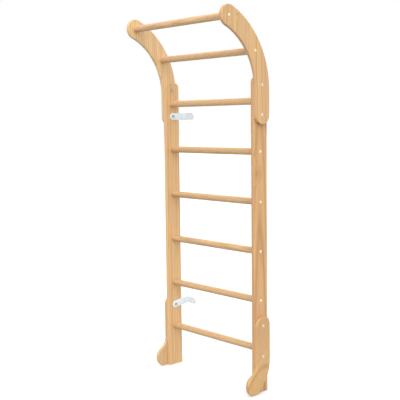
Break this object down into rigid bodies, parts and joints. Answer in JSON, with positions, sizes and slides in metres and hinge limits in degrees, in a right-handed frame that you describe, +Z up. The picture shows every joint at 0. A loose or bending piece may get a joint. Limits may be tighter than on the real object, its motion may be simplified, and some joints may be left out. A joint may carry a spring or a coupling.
{
  "type": "wall bars with curved top arms",
  "caption": "Wooden climbing ladder for a wall: uprights with round rungs, curved arms that carry bars out in front, boot-shaped feet and swivelling wall brackets.",
  "frame": {"origin": "on the floor, at the middle of the overall width and depth", "axes": "+Z up; +Y toward the wall, so the curved arms reach toward -Y; +X to the user's right when facing the wall"},
  "size_m": [0.7264, 0.3718, 1.92],
  "materials": {
    "pine_uprights": "clear satin varnish, grain along the board",
    "pine_rungs": "clear satin varnish, turned dowel",
    "pine_curved_boards": "clear satin varnish, sawn to a curve, eased edges",
    "white_bracket": "white powder coat on bent steel strip",
    "zinc_bolt": "bright zinc plate",
    "zinc_screw": "bright zinc plate",
    "cap_plastic": "moulded cream-white screw cap"
  },
  "bodies": {
    "ladder": {"top_bar": "pine_rungs", "second_bar": "pine_rungs", "rung_3": "pine_rungs", "rung_4": "pine_rungs", "rung_5": "pine_rungs", "rung_6": "pine_rungs", "rung_7": "pine_rungs", "rung_8": "pine_rungs", "left_upright": "pine_uprights", "left_arm": "pine_curved_boards", "left_foot": "pine_curved_boards", "left_rung_screws": "zinc_screw", "left_screw_caps": "cap_plastic", "left_arm_bolts": "zinc_bolt", "left_foot_bolts": "zinc_bolt", "left_bolt_washers": "zinc_bolt", "left_bolt_nuts": "zinc_bolt", "right_upright": "pine_uprights", "right_arm": "pine_curved_boards", "right_foot": "pine_curved_boards", "right_rung_screws": "zinc_screw", "right_screw_caps": "cap_plastic", "right_arm_bolts": "zinc_bolt", "right_foot_bolts": "zinc_bolt", "right_bolt_washers": "zinc_bolt", "right_bolt_nuts": "zinc_bolt"},
    "left_upper_bracket": {"left_upper_bracket": "white_bracket"},
    "left_lower_bracket": {"left_lower_bracket": "white_bracket"},
    "right_upper_bracket": {"right_upper_bracket": "white_bracket"},
    "right_lower_bracket": {"right_lower_bracket": "white_bracket"}
  },
  "joints": [
    {"name": "left_upper_bracket_swivel", "type": "hinge", "parent": "ladder", "child": "left_upper_bracket", "pos_m": [-0.3182, 0.09407, 1.407], "axis": [1, 0, 0], "range_deg": [-235, 55]},
    {"name": "left_lower_bracket_swivel", "type": "hinge", "parent": "ladder", "child": "left_lower_bracket", "pos_m": [-0.3182, 0.09407, 0.347], "axis": [1, 0, 0], "continuous": true},
    {"name": "right_upper_bracket_swivel", "type": "hinge", "parent": "ladder", "child": "right_upper_bracket", "pos_m": [0.3182, 0.09407, 1.407], "axis": [1, 0, 0], "range_deg": [-235, 55]},
    {"name": "right_lower_bracket_swivel", "type": "hinge", "parent": "ladder", "child": "right_lower_bracket", "pos_m": [0.3182, 0.09407, 0.347], "axis": [1, 0, 0], "continuous": true}
  ]
}
